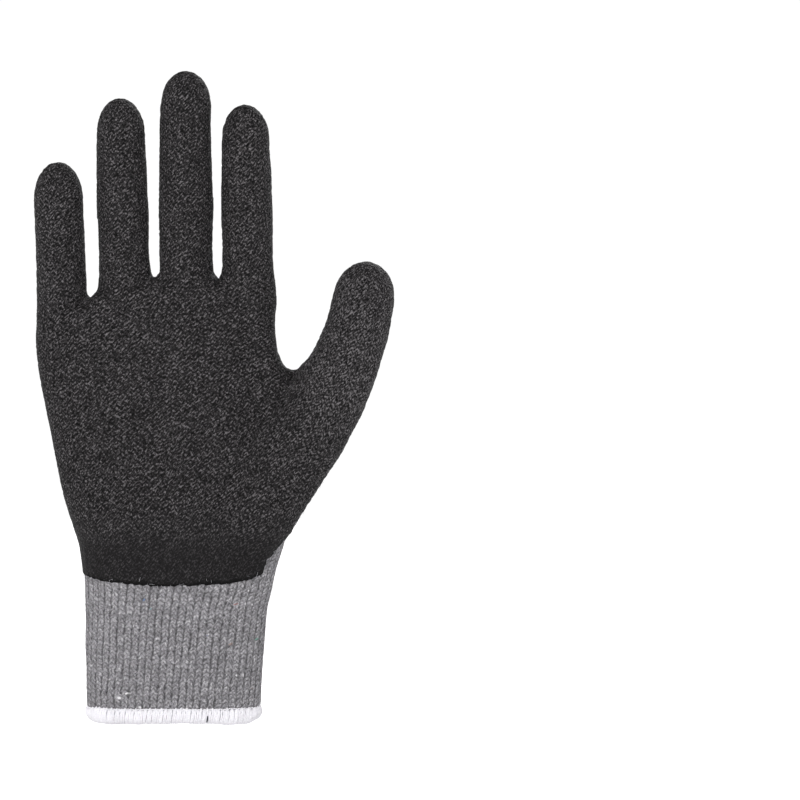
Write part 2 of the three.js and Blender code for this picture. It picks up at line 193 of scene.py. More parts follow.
# %% The two sides of the liner
def shells(node):
    """The outside and the inside of the liner, each with its open end drawn down and closed."""
    points, faces = arrays_of(node.data)
    keys, first = np.unique(np.round(points, 3), axis=0, return_inverse=True)
    faces = [[int(first.ravel()[i]) for i in face] for face in faces]
    rim = keys[:, 2].min()
    faces = [f for f in faces if max(keys[i, 2] for i in f) > rim + 0.01]
    parent = list(range(len(keys)))

    def root(i):
        while parent[i] != i:
            parent[i] = parent[parent[i]]
            i = parent[i]
        return i

    for face in faces:
        for i in face[1:]:
            parent[root(i)] = root(face[0])
    groups = {}
    for face in faces:
        groups.setdefault(root(face[0]), []).append(face)
    sides = sorted(groups.values(), key=lambda group: -np.ptp(keys[np.unique(sum(group, [])), 0]))[:2]
    return [closed(keys, group, rim) for group in sides]


def closed(points, faces, rim, drop=8):
    """Draws a shell's open edge straight down and closes it, so that it can be filled with a grid."""
    once = {}
    for face in faces:
        for a, b in zip(face, face[1:] + face[:1]):
            once[(a, b)] = True
    edge = [(a, b) for a, b in once if (b, a) not in once]
    below = {a: len(points) + k for k, (a, _) in enumerate(edge)}
    lowered = [[points[a, 0], points[a, 1], rim - drop] for a, _ in edge]
    middle = len(points) + len(edge)
    centre = [np.mean([p[0] for p in lowered]), np.mean([p[1] for p in lowered]), rim - drop]
    walls = [[b, a, below[a], below[b]] for a, b in edge]
    floor = [[below[b], below[a], middle] for a, b in edge]
    return np.vstack([points, lowered, [centre]]), faces + walls + floor


# %% [markdown]
# ## The round form of the glove
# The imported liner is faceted: flat panes, and sharp creases where the digits leave the palm. On the real
# glove the knit stretches into soft saddles there. Sculpting could round them; here each side is turned
# into an even grid of squares and relaxed, which melts the facets and leaves sizes alone. One subdivision
# then makes the grid fine enough for ribs and wrinkles.

# %% The round form of the glove
THUMB_WEB = np.array([44, -4, 146])  # middle of the hollow between thumb and forefinger
WEB_SIZE = 17  # how far round it the form is softer still
WEB_ROUNDS = 90
WEB_SWELL = -0.612
KNIT_SQUARE = 0.94
LATEX_SQUARE = 1.04
LINING_SQUARE = 1.6


def grid_form(shell, square, rounds, subdivide):
    """A shell as an even grid of relaxed squares, with its open end cut off again."""
    thing = object_of("form", *shell)
    grid = thing.modifiers.new("grid", "REMESH")
    grid.mode = "VOXEL"
    grid.voxel_size = square * MM
    points, quads = after_modifiers(thing)
    points = relaxed(points, quads, rounds)
    softer = relaxed(points, quads, WEB_ROUNDS, swell=WEB_SWELL)
    near_web = np.exp(-((np.linalg.norm(points - THUMB_WEB, axis=1) / WEB_SIZE) ** 4))[:, None]
    points = points + near_web * (softer - points)
    if subdivide:
        thing = object_of("form", points, quads)
        thing.modifiers.new("finer", "SUBSURF").levels = 1
        points, quads = after_modifiers(thing)
    return points, quads


outside, inside = shells(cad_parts["knit_liner"])
knit_form = grid_form(outside, KNIT_SQUARE, 45, True)
latex_form = grid_form(outside, LATEX_SQUARE, 35, True)
lining_form = grid_form(inside, LINING_SQUARE, 25, False)
print("squares:", len(knit_form[1]), len(latex_form[1]), len(lining_form[1]))

# %% [markdown]
# ## Round ends of the gaps
# Between two fingers the knit forms a little web, so the gap ends in a narrow round bottom, not in a flat
# one. The sides of the gap are drawn together towards its foot, less and less on the way up. Small pushes
# to the side follow the real glove, whose digits never stand quite evenly.


# %% Round ends of the gaps
# middle and height of each gap's foot, how far its left side, its right side and its foot are pushed to
# the right, and how far the foot is pushed down
CROTCHES = [
    (-31.3, 163.5, 0.45, 0.45, 0.3, 0.25),
    (-7.4, 171.3, 0.4, 0.05, 0.9, 0.0),
    (17.0, 171.3, 0.4, 0.05, 0.2, 0.5),
]
GAP_HALF = 2.2  # half the width of a gap
PINCH = 1.25  # how far each side is drawn in at the foot
PINCH_UP = 5.5  # how fast that fades on the way up


def webbed(points):
    points = points.copy()
    for x, z, left, right, foot, down in CROTCHES:
        aside = points[:, 0] - x
        up = points[:, 2] - z
        near = np.exp(-((np.maximum(np.abs(aside) - GAP_HALF, 0) / GAP_HALF) ** 2)) * (up > -6) * (up < 30)
        pinch = PINCH * np.exp(-np.maximum(up, 0) / PINCH_UP) * np.exp(-((np.minimum(up, 0) / 2) ** 2))
        push = np.where(aside < 0, left, right) * ramp(up, 2, 8) * (1 - ramp(up, 24, 40))
        push += foot * np.exp(-((up - 2) / 4.5) ** 2)
        sink = down * np.exp(-((aside / 2.6) ** 4)) * np.exp(-((up / 2.6) ** 2))
        points[:, 0] += near * (push - pinch * np.clip(aside / GAP_HALF, -1, 1))
        points[:, 2] -= sink
    return points


def beside_thumb(points):
    """The forefinger's side swings out a little above its root, and the thumb's web hangs a little lower."""
    points = points.copy()
    x, z = points[:, 0].copy(), points[:, 2]
    forefinger = ramp(x, 29, 37) * (1 - ramp(x, 41, 45))
    points[:, 0] += forefinger * ramp(z, 144, 151) * (1 - ramp(z, 164, 180))
    points[:, 0] -= 0.7 * forefinger * np.exp(-(((z - 142) / 4) ** 2))
    points[:, 0] -= 1.6 * np.exp(-(((z - 137) / 2.6) ** 2) - ((x - 47.5) / 5) ** 2)
    return points


knit_before, latex_before = knit_form[0], latex_form[0]
knit_form, latex_form, lining_form = (
    (beside_thumb(webbed(points)), quads) for points, quads in (knit_form, latex_form, lining_form)
)

# %% [markdown]
# ## Soft unevenness
# A hand is never a perfect tube. Slow, shallow waves and the small hollows between the finger roots, with
# the folds that run down from them, are added to every layer by the same formula, so that they all move
# together.


# %% Soft unevenness
def uneven(points):
    """How far the hand's softness moves each point along its normal, in millimetres."""
    move = 0.32 * grain(points, 26, 1) + 0.16 * grain(points, 9, 2)
    back = ramp(points[:, 1], 2, 7)
    for k, (x, z, *_) in enumerate(CROTCHES):
        dx, dz = points[:, 0] - x, points[:, 2] - z
        move -= 1.5 * back * np.exp(-((dx / 3.4) ** 2) - ((dz + 5) / 7.5) ** 2)
        for side in (-1, 1):
            lean = 0.55 + 0.1 * k
            off = dx * math.cos(lean) * side - dz * math.sin(lean) - 5.5
            along = dx * math.sin(lean) * side + dz * math.cos(lean) + 9
            move -= 0.75 * back * np.exp(-((off / 1.6) ** 2) - (along / 8) ** 2)
    fade = ramp(points[:, 2], 4, 16)
    return move * fade


# %% [markdown]
# ## Where the knit runs
# The machine knits each digit as a tube, then the palm and the cuff as one wide tube. The columns of
# stitches, called wales, run along the digits and down the hand, and fan together towards the wrist. In
# the cuff they are drawn up into ribs. To draw stitches anywhere, every point gets two numbers: how many
# wales or ribs it lies round the hand, and how many courses, or rows, it lies up from the hem. They are
# kept in a UV map. A third number says how wide the slits between the columns gape: on the digits the knit
# is stretched, and in the cuff its ribs stand apart.

# %% Sizes of the knit
COURSE = 1.7  # one row of stitches, in millimetres
ROUND_HAND = 94  # wales round the hand, 2.4 mm each: a 10 gauge machine
ROUND_FINGER = 24
THUMB_PACE = 5.4  # wales on the thumb for each radian round it
RIBS = 57  # ribs round the cuff, 2.9 mm each
RIB_TWIST = 0.018  # the cuff is a little twisted: this many ribs for each millimetre up
RIB_TOP = 85.0  # height where the ribs end
THUMB_FORK = 116.0  # height where the thumb leaves the hand's tube
GLOVE_TOP = 260
FINGERS = {  # middle at the root and at the tip, height of root and tip
    "little": (-43.3, -44.2, 156.9, 214.1),
    "ring": (-19.5, -20.3, 167.8, 238.5),
    "middle": (4.5, 4.8, 171.4, 249.0),
    "index": (28.4, 27.5, 167.8, 236.2),
}
FINGER_REACH = 12.2  # a finger's points lie this close to its middle
CURL = 8.0  # the fingertips lean this far towards the palm
THUMB_LINE = np.array(
    [
        (20.5, -1.8, 58.0),
        (31.1, -4.5, 79.2),
        (43.1, -6.8, 101.1),
        (52.1, -7.7, 113.5),
        (59.9, -8.1, 125.6),
        (66.7, -8.6, 139.9),
        (70.7, -9.0, 151.0),
        (73.0, -9.0, 162.4),
        (74.6, -9.0, 176.0),
    ]
)


# %% [markdown]
# Wales are counted round the hand from the little finger's side, over the back and round by the palm. A
# hand's section is close to an ellipse, so a wale's place is a share of an ellipse's edge.


# %% Counting round the hand
def hand_sides(points):
    """The hand's left and right edge and its half depth at each millimetre of height."""
    heights = np.arange(GLOVE_TOP)
    left, right, deep = (np.zeros(GLOVE_TOP) for _ in range(3))
    for z in heights:
        level = min(max(z, 4), 245)
        near = points[np.abs(points[:, 2] - level) < 1.2]
        left[z], right[z], deep[z] = near[:, 0].min(), near[:, 0].max(), np.abs(near[:, 1]).max()
    fork = int(THUMB_FORK)
    right[fork:], deep[fork:] = right[fork], deep[fork]
    left[170:] = left[170]
    return left, right, deep


def ellipse_share(turn, flatness=0.42, steps=2000):
    """The share of an ellipse's edge passed by an angle, counted from its left end over its back."""
    angles = np.linspace(0, 2 * np.pi, steps)
    pace = np.hypot(np.sin(angles), flatness * np.cos(angles))
    passed = np.concatenate([[0], np.cumsum((pace[1:] + pace[:-1]) / 2)])
    return np.interp(turn, angles, passed / passed[-1])


def wale_at(x, height, sides):
    """The wale that stands at a place across the back."""
    left, right, _ = (side[int(height)] for side in sides)
    middle, half = (left + right) / 2, (right - left) / 2
    return ROUND_HAND * ellipse_share(np.arccos(-(np.array([x]) - middle) / half))[0]


def hand_wales(points, sides):
    """Wales and ribs round the hand. Above the cuff they are counted straight across the back."""
    x, y, z = points.T
    left, right, deep = (np.interp(z, np.arange(GLOVE_TOP), side) for side in sides)
    middle, half = (left + right) / 2, (right - left) / 2
    across = np.clip((x - middle) / half, -1, 1)
    around = np.pi - np.arctan2(y / deep, (x - middle) / half)
    over = np.arccos(-across)
    over = np.where(y < 0, 2 * np.pi - over, over)
    above = ramp(z, 72, 96)
    wales = ROUND_HAND * ellipse_share(around * (1 - above) + over * above)
    return wales, RIBS * ellipse_share(around) + RIB_TWIST * z


# %% [markdown]
# The four fingers stand nearly straight, so their wales are counted by the angle round an upright line.
# The thumb leans and bends. Its wales are counted round its own bent line, and its courses along it.


# %% Counting round the digits
def finger_wales(points, wales, sides):
    """Puts each finger's own wales in place of the hand's, with a soft change at its root."""
    x, y, z = points.T
    for root_x, tip_x, root_z, tip_z in FINGERS.values():
        share = (z - root_z) / (tip_z - root_z)
        centre = root_x + (tip_x - root_x) * share
        sink = -CURL * np.clip(share, 0, 1) ** 1.5
        turn = np.arctan2(x - centre, np.abs(y - sink)) * ROUND_FINGER / (2 * np.pi)
        start = wale_at(root_x, root_z, sides)
        mine = (np.abs(x - centre) < FINGER_REACH) & (z > root_z - 12)
        blend = np.where(mine, ramp(z, root_z - 8, root_z + 12), 0)
        wales = wales * (1 - blend) + np.where(y < sink, ROUND_HAND - start - turn, start + turn) * blend
    return wales


def round_thumb(points):
    """For each point: how far along the thumb's line, how many wales from it, and whether palm side."""
    steps = np.linalg.norm(np.diff(THUMB_LINE, axis=0), axis=1)
    passed = np.concatenate([[0], np.cumsum(steps)])
    best = np.full(len(points), 1e9)
    along, turn, palm = np.zeros(len(points)), np.zeros(len(points)), np.zeros(len(points), bool)
    for k in range(len(steps)):
        start, step = THUMB_LINE[k], (THUMB_LINE[k + 1] - THUMB_LINE[k]) / steps[k]
        reach = np.clip((points - start) @ step, 0, steps[k] + (40 if k == len(steps) - 1 else 0))
        off = points - start - reach[:, None] * step
        far = np.linalg.norm(off, axis=1)
        nearer = far < best
        outwards = np.cross([0, 1, 0], step)
        outwards /= np.linalg.norm(outwards)
        best = np.where(nearer, far, best)
        along = np.where(nearer, passed[k] + reach, along)
        turn = np.where(nearer, np.arctan2(off @ outwards, np.abs(off[:, 1])) * THUMB_PACE, turn)
        palm = np.where(nearer, off[:, 1] < 0, palm)
    return along - np.interp(THUMB_FORK, THUMB_LINE[:, 2], passed), turn, palm


def knit_numbers(points, sides):
    x, _, z = points.T
    wales, ribs = hand_wales(points, sides)
    wales = finger_wales(points, wales, sides)
    along, turn, palm = round_thumb(points)
    fork_x = np.interp(THUMB_FORK, THUMB_LINE[:, 2], THUMB_LINE[:, 0])
    start = wale_at(fork_x, THUMB_FORK, sides)
    blend = ramp(z, 82, 106) * ramp(x, 41, 49)
    wales = wales * (1 - blend) + np.where(palm, ROUND_HAND - start - turn, start + turn) * blend
    courses = z / COURSE * (1 - blend) + (THUMB_FORK + along) / COURSE * blend
    gape = np.maximum(0.22 + 0.6 * ramp(z, 140, 172), 0.95 * ramp(z, 90, 115) * ramp(x, 37, 47))
    rib_gape = 0.42 - 0.18 * ramp(z, RIB_TOP - 25, RIB_TOP)
    return {"wales": wales, "ribs": ribs, "courses": courses, "gape": gape, "rib_gape": rib_gape}


hand_edges = hand_sides(knit_form[0])
print("the hand is", round(hand_edges[1][100] - hand_edges[0][100]), "mm wide below the thumb's fork")

# %% [markdown]
# ## Where the latex lies
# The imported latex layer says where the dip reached. Each point of the liner gets its distance from that
# layer: next to nothing under the latex, and growing outside its edge. Relaxing that number over the
# surface turns the cut edges of the solid into the soft outline of a liquid's edge. On the back, the edge of
# the patch between thumb and forefinger runs on straight into that of the forefinger, so it gets a line of
# its own.

# %% Where the latex lies
FAR_FROM_LATEX = 8.0
LATEX_EDGE = 0.75  # the distance that counts as the edge
PATCH_EDGE = [  # height, and how far towards the thumb the patch ends there
    (114, 38.0),
    (118, 34.7),
    (122, 32.9),
    (128, 31.9),
    (136, 32.2),
    (146, 33.6),
    (156, 35.2),
    (165, 36.2),
    (176, 36.1),
]


def tree_of(mesh):
    points, faces = arrays_of(mesh)
    return BVHTree.FromPolygons(points.tolist(), faces)


liner_tree = tree_of(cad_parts["knit_liner"].data)
latex_tree = tree_of(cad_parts["latex_coating"].data)


def latex_distance(points, quads, rounds):
    """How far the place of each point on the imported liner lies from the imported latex, in millimetres."""
    far = np.empty((len(points), 1))
    for i, point in enumerate(points.tolist()):
        on_liner = liner_tree.find_nearest(point)[0]
        far[i] = latex_tree.find_nearest(on_liner, FAR_FROM_LATEX)[3] or FAR_FROM_LATEX
    x, y, z = points.T
    beyond = np.interp(z, *zip(*PATCH_EDGE)) - x
    there = ramp(y, 0, 1.5) * ramp(x, 20, 26) * (1 - ramp(x, 40, 44)) * ramp(z, 114, 122)
    there *= 1 - ramp(z, 168, 176)
    far[:, 0] += there * (np.clip(LATEX_EDGE + 0.6 * beyond, 0.3, 4.0) - far[:, 0])
    return relaxed(far, quads, rounds, swell=0)[:, 0]


knit_dry = latex_distance(knit_before, knit_form[1], 10)
latex_dry = latex_distance(latex_before, latex_form[1], 7) + 0.33 * grain(latex_before, 1.2, 6)
print("bare share of the liner:", round(float((knit_dry > LATEX_EDGE).mean()), 2))

# %% [markdown]
# ## Colours, sizes and nodes
# Colours are written as in a paint program. A pattern's scale comes from the real size of its lumps. One
# small function adds a node, sets it and links its inputs.


# %% Colours, sizes and nodes
def colour(hex_value):
    parts = [(hex_value >> shift & 255) / 255 for shift in (16, 8, 0)]
    return [p / 12.92 if p <= 0.04045 else ((p + 0.055) / 1.055) ** 2.4 for p in parts] + [1.0]


def every(lump_mm):
    """The scale that gives a pattern lumps of this size."""
    return 1 / (lump_mm * MM)


def node(tree, kind, inputs=(), out=0, stops=(), **settings):
    """Adds a node and gives one of its outputs. Stops make a colour ramp, of hex colours or greys."""
    made = tree.nodes.new("ShaderNode" + kind)
    for key, value in settings.items():
        setattr(made, key, value)
    for key, value in dict(inputs).items():
        if isinstance(value, bpy.types.NodeSocket):
            tree.links.new(value, made.inputs[key])
        else:
            made.inputs[key].default_value = value
    for spare in stops[2:]:
        made.color_ramp.elements.new(spare[0])
    for k, (place, shade) in enumerate(stops):
        made.color_ramp.elements[k].position = place
        made.color_ramp.elements[k].color = colour(shade) if isinstance(shade, int) else [shade] * 3 + [1]
    return made.outputs[out] if made.outputs else made


def material(name):
    made = bpy.data.materials.new(name)
    made.use_nodes = True
    made.node_tree.nodes.clear()
    return made, partial(node, made.node_tree)


# %% [markdown]
# ## Stitches in a material
# The bare knit and the latex over it both show stitches, which the UV map places. Each wobbles a little,
# as hand-fed yarn does.


# %% Stitches in a material
def stitches_of(add, place, noise, reach):
    """The moved place on the UV map, how far inwards from its column's edge, and how many courses up."""
    wander = add("TexNoise", {"Vector": place, **noise}, out="Color")
    wander = add("VectorMath", {0: wander, 1: (0.5, 0.5, 0.5)}, operation="SUBTRACT")
    wander = add("VectorMath", {0: wander, 1: reach}, operation="MULTIPLY")
    moved = add("VectorMath", {0: add("UVMap", uv_map="knit"), 1: wander}, operation="ADD")
    column = add("SeparateXYZ", {0: moved}, out="X")
    course = add("SeparateXYZ", {0: moved}, out="Y")
    return moved, add("Math", {0: column, 1: 0.5}, operation="PINGPONG"), course


# %% [markdown]
# ## Melange knit
# The yarn is spun from recycled cotton and polyester in every shade of grey, with odd fibres of other
# colours. Knitted plain, its loops show as columns of small Vs, with a slit between columns. The UV
# map places each V. Its two legs are stripes that slant away from the column's middle. They are drawn as
# height for the bump and as painted shade in the grooves between them, and the slits get painted shade
# where they gape. A single fibre is 0.02 mm thick, far too fine to show, so the fibres are drawn as
# streaks of 0.4 mm, about a pixel.


# %% Melange knit
def knit_material(name):
    """Soft grey loops with a mottled, slightly hairy look, painted shade between the legs, and painted shade
    in the holes where the slits gape.
    """
    made, add = material(name)
    place = add("TexCoord", out="Object")
    gape = add("Attribute", out="Fac", attribute_name="gape")
    # the two legs of each V
    noise = {"Scale": every(2.22), "Detail": 1.5}
    moved, inward, course = stitches_of(add, place, noise, (0.55, 1.1, 0))
    aside = add("Math", {0: inward, 1: -2.0, 2: 1.0}, operation="MULTIPLY_ADD")
    slant = add("Math", {0: aside, 1: 0.85, 2: course}, operation="MULTIPLY_ADD")
    slant = add("Math", {0: slant, 1: math.pi}, operation="MULTIPLY")
    stripe = add("Math", {0: slant}, operation="SINE")
    stripe = add("Math", {0: stripe}, operation="ABSOLUTE")
    stripe = add("Math", {0: stripe, 1: 0.6}, operation="POWER")
    leg = add("Math", {0: aside, 1: 2.65, 2: 0.38}, operation="MULTIPLY_ADD")
    leg = add("Math", {0: leg}, operation="SINE")
    leg = add("Math", {0: leg, 1: 0.75}, operation="POWER", use_clamp=True)
    loop = add("Math", {0: stripe, 1: leg}, operation="MULTIPLY")
    # fibres: fine streaks and lumps of different greys
    fibre = add("TexNoise", {"Vector": place, "Scale": every(0.385), "Detail": 3.0, "Roughness": 0.7})
    lumps = add("TexNoise", {"Vector": place, "Scale": every(0.909), "Detail": 3.0, "Roughness": 0.7})
    slow = add("TexNoise", {"Vector": place, "Scale": every(13.3), "Detail": 2.0})
    greys = add(
        "ValToRGB",
        {0: lumps},
        stops=[(0.3, 0x6C6A6E), (0.45, 0x8B898D), (0.58, 0xA6A4A8), (0.7, 0xCBC9CC), (0.8, 0xF2F0F3)],
    )
    # each stitch has a tone of its own
    cells = add("TexVoronoi", {"Vector": moved, "Scale": 1.0}).node
    one = add("SeparateColor", {0: cells.outputs["Color"]}).node
    tone = add("ValToRGB", {0: one.outputs[2]}, stops=[(0.0, 0.78), (1.0, 1.1)])
    streaks = add("ValToRGB", {0: fibre}, stops=[(0.3, 0.76), (0.7, 1.2)])
    patches = add("ValToRGB", {0: slow}, stops=[(0.35, 0.93), (0.65, 1.04)])
    for shade in (tone, streaks, patches):
        greys = add("Mix", {0: 1.0, 6: greys, 7: shade}, out=2, data_type="RGBA", blend_type="MULTIPLY")
    # odd fibres: a few of the stitches hold a fleck of another colour
    odd = add(
        "ValToRGB",
        {0: one.outputs[0]},
        stops=[
            (0.0, 0xF4F2F4),
            (0.5, 0xDEDCE0),
            (0.56, 0xB9787F),
            (0.68, 0x6A9A88),
            (0.8, 0x6A7AA8),
            (0.92, 0xC2A878),
        ],
    )
    chosen = add("Math", {0: one.outputs[1], 1: 0.94}, operation="GREATER_THAN")
    near = add("MapRange", {0: cells.outputs["Distance"], 1: 0.34, 2: 0.16}, clamp=True)
    fleck = add("Math", {0: chosen, 1: near}, operation="MULTIPLY")
    greys = add("Mix", {0: fleck, 6: greys, 7: odd}, out=2, data_type="RGBA")
    # slits: painted shade in the holes between the columns, of uneven size, which join up where the knit is
    # stretched
    slit = add("MapRange", {0: aside, 1: 0.5, 2: 1.0}, interpolation_type="SMOOTHSTEP")
    holes = add("TexNoise", {"Vector": place, "Scale": every(1.56), "Detail": 1.0})
    joined = add("Math", {0: gape, 1: 1.3, 2: -0.4}, operation="MULTIPLY_ADD", use_clamp=True)
    holes = add("MapRange", {0: holes, 1: 0.42, 2: 0.6, 3: joined, 4: 1.3}, interpolation_type="SMOOTHSTEP")
    slit = add("Math", {0: slit, 1: holes}, operation="MULTIPLY")
    slit = add("Math", {0: slit, 1: gape}, operation="MULTIPLY")
    # painted shade: the yarn is darker in the grooves between the legs of each V
    groove_shade = add("ValToRGB", {0: loop}, stops=[(0.0, 0.42), (0.3, 0.68), (0.62, 0.97), (0.9, 1.08)])
    yarn = add("Mix", {0: 1.0, 6: greys, 7: groove_shade}, out=2, data_type="RGBA", blend_type="MULTIPLY")
    # painted shade: the slits are filled with near black
    yarn = add("Mix", {0: slit, 6: yarn, 7: colour(0x19171B)}, out=2, data_type="RGBA")
    height = add("Math", {0: lumps, 1: 0.3, 2: loop}, operation="MULTIPLY_ADD")
    height = add("Math", {0: fibre, 1: 0.2, 2: height}, operation="MULTIPLY_ADD")
    height = add("Math", {0: slit, 1: -0.9, 2: height}, operation="MULTIPLY_ADD")
    bump = add("Bump", {"Height": height, "Strength": 1.0, "Distance": 0.5 * MM})
    soft = {"Roughness": 0.95, "Specular IOR Level": 0.12, "Sheen Weight": 0.12, "Sheen Roughness": 0.6}
    surface = add("BsdfPrincipled", {"Base Color": yarn, "Normal": bump, **soft})
    add("OutputMaterial", {"Surface": surface})
    return made


melange = knit_material("cotton_polyester_melange_knit")

# %% [markdown]
# ## Ribs, wales and loops
# The wales stand up as low ridges, and in the cuff pairs of wales make the ribs that hug the wrist. Both
# are wide enough to be real shape, so they move the mesh. The Vs are finer than the grid and come from the
# material, which reads its numbers from the UV map and from one share for each point.


# %% Ribs, wales and loops
def add_shares(thing, name, values):
    """Keeps one number for each point, which the material reads by its name."""
    share = thing.data.attributes.new(name, "FLOAT", "POINT")
    share.data.foreach_set("value", np.ascontiguousarray(values, dtype=np.float32))


def add_knit_map(thing, numbers, used, around="wales"):
    """Writes the UV map, with the numbers of each face brought together where they start again."""
    mesh = thing.data
    corner = np.empty(len(mesh.loops), dtype=np.int64)
    mesh.loops.foreach_get("vertex_index", corner)
    pair = [numbers[around][used][corner], numbers["courses"][used][corner]]
    sheet = np.stack(pair, axis=1).reshape(-1, 4, 2)
    top = sheet[:, :, 0].max(axis=1, keepdims=True)
    for period in (ROUND_HAND, RIBS, ROUND_FINGER):
        torn = top - sheet[:, :, 0] > period * 0.6
        sheet[:, :, 0] += np.where(torn, period, 0)
    layer = mesh.uv_layers.new(name="knit")
    layer.data.foreach_set("uv", sheet.reshape(-1))
    add_shares(thing, "gape", numbers["gape" if around == "wales" else "rib_gape"][used])


def knit_relief(numbers, points):
    """Height of ribs, wales and loops."""
    wales, courses = numbers["wales"], numbers["courses"]
    cuff = 1 - ramp(points[:, 2], RIB_TOP - 14, RIB_TOP + 3)
    rib = np.abs(np.sin(np.pi * numbers["ribs"]))
    wale = np.abs(np.sin(np.pi * wales)) ** 0.6
    aside = np.abs(np.mod(wales, 1) - 0.5) * 2
    loop = np.abs(np.sin(np.pi * (courses + 0.85 * aside)))
    plain = (0.25 + 0.6 * numbers["gape"]) * (wale - 0.7) + 0.12 * (loop - 0.6)
    return cuff * (0.45 * rib - 0.3) + (1 - cuff) * plain


# %% [markdown]
# ## The knitted liner
# The outside is the bare knit: back, finger tongues and rib cuff, running a little way under the latex. It
# is left out where the latex hides it. The inside is a plainer shell, seen only through the wrist opening.

# %% The knitted liner
CUFF_EDGE = 2.2  # the knit ends here, inside the hem
UNDER_LATEX = 0.62  # the knit runs under the latex as far as this distance


def worn(form):
    """A form made uneven, with its normals and its knit numbers."""
    points, quads = form
    normals = normals_of(points, quads)
    points = points + normals * uneven(points)[:, None]
    return points, quads, normals, knit_numbers(points, hand_edges)


points, quads, normals, numbers = worn(knit_form)
shown = (knit_dry[quads].max(axis=1) > UNDER_LATEX) & (points[quads][:, :, 2].min(axis=1) > CUFF_EDGE)
points = points + normals * knit_relief(numbers, points)[:, None]
points += normals * (0.06 * grain(points, 1.1, 3))[:, None]
in_cuff = points[quads][:, :, 2].min(axis=1) < RIB_TOP
knit_pieces = []
for name, part, around in (("rib_cuff", in_cuff, "ribs"), ("plain_knit", ~in_cuff, "wales")):
    used, bare = only(points, quads, shown & part)
    piece = object_of(name, points[used], bare)
    add_knit_map(piece, numbers, used, around)
    piece.data.materials.append(melange)
    knit_pieces.append(piece)
    print(name, "triangles:", 2 * len(bare))
used, bare = only(points, quads, shown)
knit_surface = (points[used], bare, normals[used])
edge_gap = np.abs(knit_dry[used] - LATEX_EDGE)

points, quads, _, numbers = worn(lining_form)
used, lining = only(points, quads, points[quads][:, :, 2].min(axis=1) > CUFF_EDGE)
lining_knit = object_of("knit_inside", points[used], lining[:, ::-1])
add_knit_map(lining_knit, numbers, used)
lining_knit.data.materials.append(melange)
print("inside triangles:", 2 * len(lining))

# %% [markdown]
# ## Crinkled latex
# Natural latex is dipped on, and before it sets a solvent wrinkles its skin into fine folds, half a
# millimetre to a millimetre wide, which grip. They are drawn out on a slant, and the stitches below still
# show through them. Their crests are painted pale, a painted highlight, and the hollows between them are
# painted deep black, a painted shade. The finer folds are in the bump and the shade here, the larger ones
# are real shape in the next step.


# %% Latex material
def latex_material():
    """Nearly matte black, with pale crests as painted highlight and black hollows as painted shade, smoother
    along its edges and darker there by painted shade.
    """
    made, add = material("natural_rubber_latex_crinkle")
    place = add("TexCoord", out="Object")
    crinkled = add("Attribute", out="Fac", attribute_name="crinkle")
    rim = add("Attribute", out="Fac", attribute_name="rim")
    pale = add("Attribute", out="Fac", attribute_name="pale")
    turned = add("VectorRotate", {"Vector": place, "Angle": 0.8}, rotation_type="Y_AXIS")
    drawn = add("VectorMath", {0: turned, 1: (0.45, 1, 1)}, operation="MULTIPLY")
    folds = add("TexNoise", {"Vector": drawn, "Scale": every(0.5), "Detail": 3.0, "Roughness": 0.6})
    fold = add("MapRange", {0: folds, 1: 0.26, 2: 0.74})
    fine = add("TexNoise", {"Vector": place, "Scale": every(0.333), "Detail": 2.0})
    # the stitches below
    noise = {"Scale": every(2.63), "Detail": 1.0}
    _, inward, course = stitches_of(add, place, noise, (0.4, 0.7, 0))
    slant = add("Math", {0: inward, 1: -1.7, 2: course}, operation="MULTIPLY_ADD")
    slant = add("Math", {0: slant, 1: 2 * math.pi}, operation="MULTIPLY")
    below = add("Math", {0: slant}, operation="SINE")
    height = add("Math", {0: fine, 1: 0.4, 2: fold}, operation="MULTIPLY_ADD")
    height = add("Math", {0: below, 1: 0.1, 2: height}, operation="MULTIPLY_ADD")
    strength = add("Math", {0: crinkled, 1: 0.9, 2: 0.1}, operation="MULTIPLY_ADD")
    bump = add("Bump", {"Height": height, "Strength": strength, "Distance": 0.8 * MM})
    # painted highlight and painted shade: the colour runs from near black in the hollows to pale on the
    # crests
    stops = [(0.35, 0x040404), (0.62, 0x1F1E1F), (0.8, 0x393738), (0.97, 0x605D5F), (1.0, 0x7A7779)]
    tone = add("Math", {0: pale, 1: 0.06, 2: height}, operation="MULTIPLY_ADD")
    shade = add("ValToRGB", {0: tone}, stops=stops)
    shade = add("Mix", {0: strength, 6: colour(0x131213), 7: shade}, out=2, data_type="RGBA")
    # painted shade: near its edge the latex is darkened almost to black
    dark = add("Math", {0: rim, 1: 0.8}, operation="MULTIPLY")
    shade = add("Mix", {0: dark, 6: shade, 7: colour(0x050505)}, out=2, data_type="RGBA")
    matt = {"Roughness": 0.68, "IOR": 1.52, "Specular IOR Level": 0.09}
    surface = add("BsdfPrincipled", {"Base Color": shade, "Normal": bump, **matt})
    add("OutputMaterial", {"Surface": surface})
    return made


# %% [markdown]
# ## The latex layer
# The layer follows the liner at a small height. Towards its edge it thins to nothing and sinks between the
# stitches, so the sheet simply dives under the knit there, and the stitches make its jagged outline. Three
# numbers go with each point for the material: how crinkled it is, how near its edge, which sets painted
# shade along the edge, and how pale.

